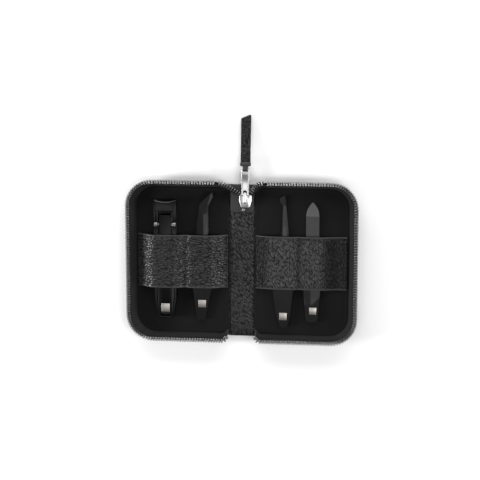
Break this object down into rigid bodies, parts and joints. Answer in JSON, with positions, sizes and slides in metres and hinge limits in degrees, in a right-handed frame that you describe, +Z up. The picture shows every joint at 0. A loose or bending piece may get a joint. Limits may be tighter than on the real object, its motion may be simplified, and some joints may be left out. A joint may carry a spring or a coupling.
{
  "type": "manicure set case",
  "caption": "Zip-round leather manicure case lying open flat, with nail clipper, slant tweezers, cuticle pusher and nail file held under leather bands, and a strap on the zip puller.",
  "frame": {"origin": "middle of the spine's underside, on the table", "axes": "+X to the right half, +Y to the pull strap, +Z up out of the open case"},
  "size_m": [0.1648, 0.162, 0.0117],
  "materials": {
    "leather": "black pebbled leather, semi-gloss",
    "board": "stiffening board, not seen",
    "lining": "black smooth lining, matt",
    "tape": "dark grey woven zip tape",
    "zip_metal": "gunmetal zip teeth and stops",
    "chrome": "polished chrome",
    "black_steel": "black coated steel, satin",
    "file_surface": "dark grey fine grit",
    "bare_steel": "bare steel",
    "inlay_steel": "bare square plate, plain"
  },
  "bodies": {
    "root": {"spine_cover": "leather", "spine_board": "board", "spine_lining": "leather", "zip_end_tape": "tape", "zip_bottom_stop": "zip_metal", "slider_body": "chrome", "slider_bridge": "chrome", "left_tail_tape": "tape", "left_tail_teeth": "zip_metal", "right_tail_tape": "tape", "right_tail_teeth": "zip_metal"},
    "left_half": {"left_cover": "leather", "left_board": "board", "left_lining": "lining", "left_gusset": "leather", "left_zip_tape": "tape", "left_zip_teeth": "zip_metal", "left_end_stop": "zip_metal", "left_band": "leather"},
    "right_half": {"right_cover": "leather", "right_board": "board", "right_lining": "lining", "right_gusset": "leather", "right_zip_tape": "tape", "right_zip_teeth": "zip_metal", "right_end_stop": "zip_metal", "right_band": "leather"},
    "zip_puller": {"puller": "chrome"},
    "strap": {"strap_loop": "leather", "strap_knot": "leather", "pull_strap": "leather"},
    "clipper": {"clipper_body": "black_steel", "clipper_rivet": "bare_steel"},
    "clipper_jaw": {"clipper_upper_jaw": "black_steel", "clipper_axle": "bare_steel"},
    "clipper_press": {"clipper_lever": "black_steel", "clipper_inlay": "inlay_steel"},
    "tweezers": {"tweezers_lower_leg": "black_steel"},
    "tweezers_leg": {"tweezers_upper_leg": "black_steel", "tweezers_inlay": "inlay_steel"},
    "pusher": {"cuticle_pusher": "black_steel", "pusher_inlay": "inlay_steel"},
    "nail_file": {"file_handle": "black_steel", "file_blade": "file_surface", "file_inlay": "inlay_steel"}
  },
  "joints": [
    {"name": "left_fold", "type": "hinge", "parent": "root", "child": "left_half", "pos_m": [-0.00885, 0, 0.003], "axis": [0, 1, 0], "range_deg": [0, 90], "deforming": ["left_tail_tape", "left_tail_teeth"]},
    {"name": "right_fold", "type": "hinge", "parent": "root", "child": "right_half", "pos_m": [0.00885, 0, 0.003], "axis": [0, -1, 0], "range_deg": [0, 90], "deforming": ["right_tail_tape", "right_tail_teeth"]},
    {"name": "puller_swing", "type": "hinge", "parent": "root", "child": "zip_puller", "pos_m": [0.0027, 0.0483, 0.00802], "axis": [-1, 0, 0], "range_deg": [-115, 0]},
    {"name": "strap_swing", "type": "hinge", "parent": "zip_puller", "child": "strap", "pos_m": [0.0027, 0.06611, 0.00575], "axis": [1, 0, 0], "range_deg": [-75, 95]},
    {"name": "clipper_slide", "type": "slide", "parent": "left_half", "child": "clipper", "axis": [0, 1, 0], "range_m": [-0.0085, 0.0085]},
    {"name": "jaw_close", "type": "hinge", "parent": "clipper", "child": "clipper_jaw", "pos_m": [-0.0544, -0.02, 0.0056], "axis": [-1, 0, 0], "range_deg": [0, 0.7]},
    {"name": "lever_press", "type": "hinge", "parent": "clipper_jaw", "child": "clipper_press", "pos_m": [-0.0544, 0.0259, 0.0077], "axis": [1, 0, 0], "range_deg": [0, 1], "stiffness_Nm_per_rad": 2, "springref_deg": -2.86},
    {"name": "tweezers_slide", "type": "slide", "parent": "left_half", "child": "tweezers", "axis": [0, 1, 0], "range_m": [-0.0085, 0.0025]},
    {"name": "tweezers_squeeze", "type": "hinge", "parent": "tweezers", "child": "tweezers_leg", "pos_m": [-0.02925, -0.043, 0.0048], "axis": [-1, 0, 0], "range_deg": [0, 1.8], "stiffness_Nm_per_rad": 2, "springref_deg": -1.15},
    {"name": "pusher_slide", "type": "slide", "parent": "right_half", "child": "pusher", "axis": [0, 1, 0], "range_m": [-0.005, 0.004]},
    {"name": "file_slide", "type": "slide", "parent": "right_half", "child": "nail_file", "axis": [0, 1, 0], "range_m": [-0.009, 0.0085]}
  ],
  "couplings": [
    {"joint": "jaw_close", "follows": "lever_press", "ratio": 0.7}
  ]
}
